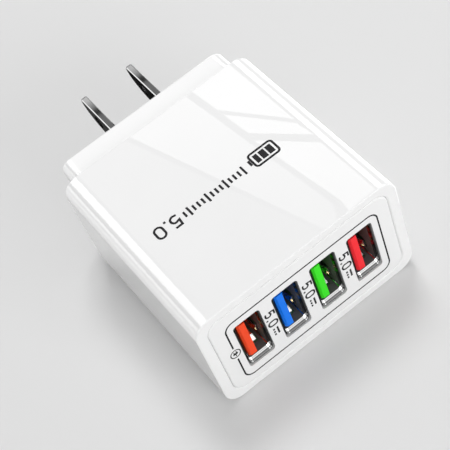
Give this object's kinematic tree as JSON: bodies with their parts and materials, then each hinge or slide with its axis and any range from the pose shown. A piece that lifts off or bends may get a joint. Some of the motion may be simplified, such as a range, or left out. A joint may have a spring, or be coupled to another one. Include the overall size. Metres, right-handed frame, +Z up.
{
  "type": "usb wall charger",
  "caption": "White box-shaped USB wall charger with upright sockets in a row, coloured tongues and flat fixed blades.",
  "frame": {"origin": "middle of the bottom of the whole object's box, with the charger lying on its large underside", "axes": "+Y out of the plug face along the blades, +X along the row of sockets, +Z up out of the large printed face; the sockets open towards -Y"},
  "size_m": [0.0496, 0.0742, 0.029],
  "materials": {
    "casing": "smooth gloss white",
    "panel": "smooth gloss white",
    "blade_metal": "nickel plated, drawn along the blade",
    "retainer": "fine matte",
    "contact_spring": "stamped",
    "socket_metal": "bright nickel on folded sheet",
    "insert_orange": "moulded",
    "insert_blue": "moulded",
    "insert_green": "moulded",
    "insert_red": "moulded",
    "contact_gold": "thin gold flash",
    "board": "solder mask over glass fibre",
    "fibre_sheet": "pressed fibre",
    "ferrite": "ground ferrite",
    "former": "moulded phenolic",
    "tape": "polyester tape",
    "enamel_wire": "enamelled copper",
    "tinned": "tinned wire",
    "can_sleeve": "shrink sleeve",
    "surge_coat": "dipped epoxy",
    "safety_coat": "dipped epoxy",
    "package": "moulded epoxy",
    "fuse_case": "moulded",
    "sink": "bent sheet",
    "screw": "zinc plated"
  },
  "bodies": {
    "root": {"housing": "casing", "port_panel": "panel", "rear_cover": "casing", "blade_retainer": "retainer", "plug_blade_left": "blade_metal", "plug_blade_right": "blade_metal", "ac_contact_left": "contact_spring", "ac_contact_right": "contact_spring", "main_board": "board", "insulation_sheet": "fibre_sheet", "transformer_core": "ferrite", "transformer_bobbin": "former", "transformer_winding": "tape", "transformer_pins": "tinned", "bulk_capacitor_1": "can_sleeve", "bulk_capacitor_2": "can_sleeve", "output_capacitor_1": "can_sleeve", "output_capacitor_2": "can_sleeve", "choke_core": "ferrite", "choke_winding": "enamel_wire", "fuse": "fuse_case", "surge_disc": "surge_coat", "safety_capacitor": "safety_coat", "bridge_rectifier": "package", "optocoupler": "package", "output_heatsink": "sink", "rectifier_tab": "tinned", "rectifier_body": "package", "rectifier_screw": "screw", "controller_chips": "package", "smd_passives": "package", "component_leads": "tinned", "usb_shell_1": "socket_metal", "usb_insert_1": "insert_orange", "usb_contacts_1": "contact_gold", "usb_shell_2": "socket_metal", "usb_insert_2": "insert_blue", "usb_contacts_2": "contact_gold", "usb_shell_3": "socket_metal", "usb_insert_3": "insert_green", "usb_contacts_3": "contact_gold", "usb_shell_4": "socket_metal", "usb_insert_4": "insert_red", "usb_contacts_4": "contact_gold"}
  },
  "joints": []
}
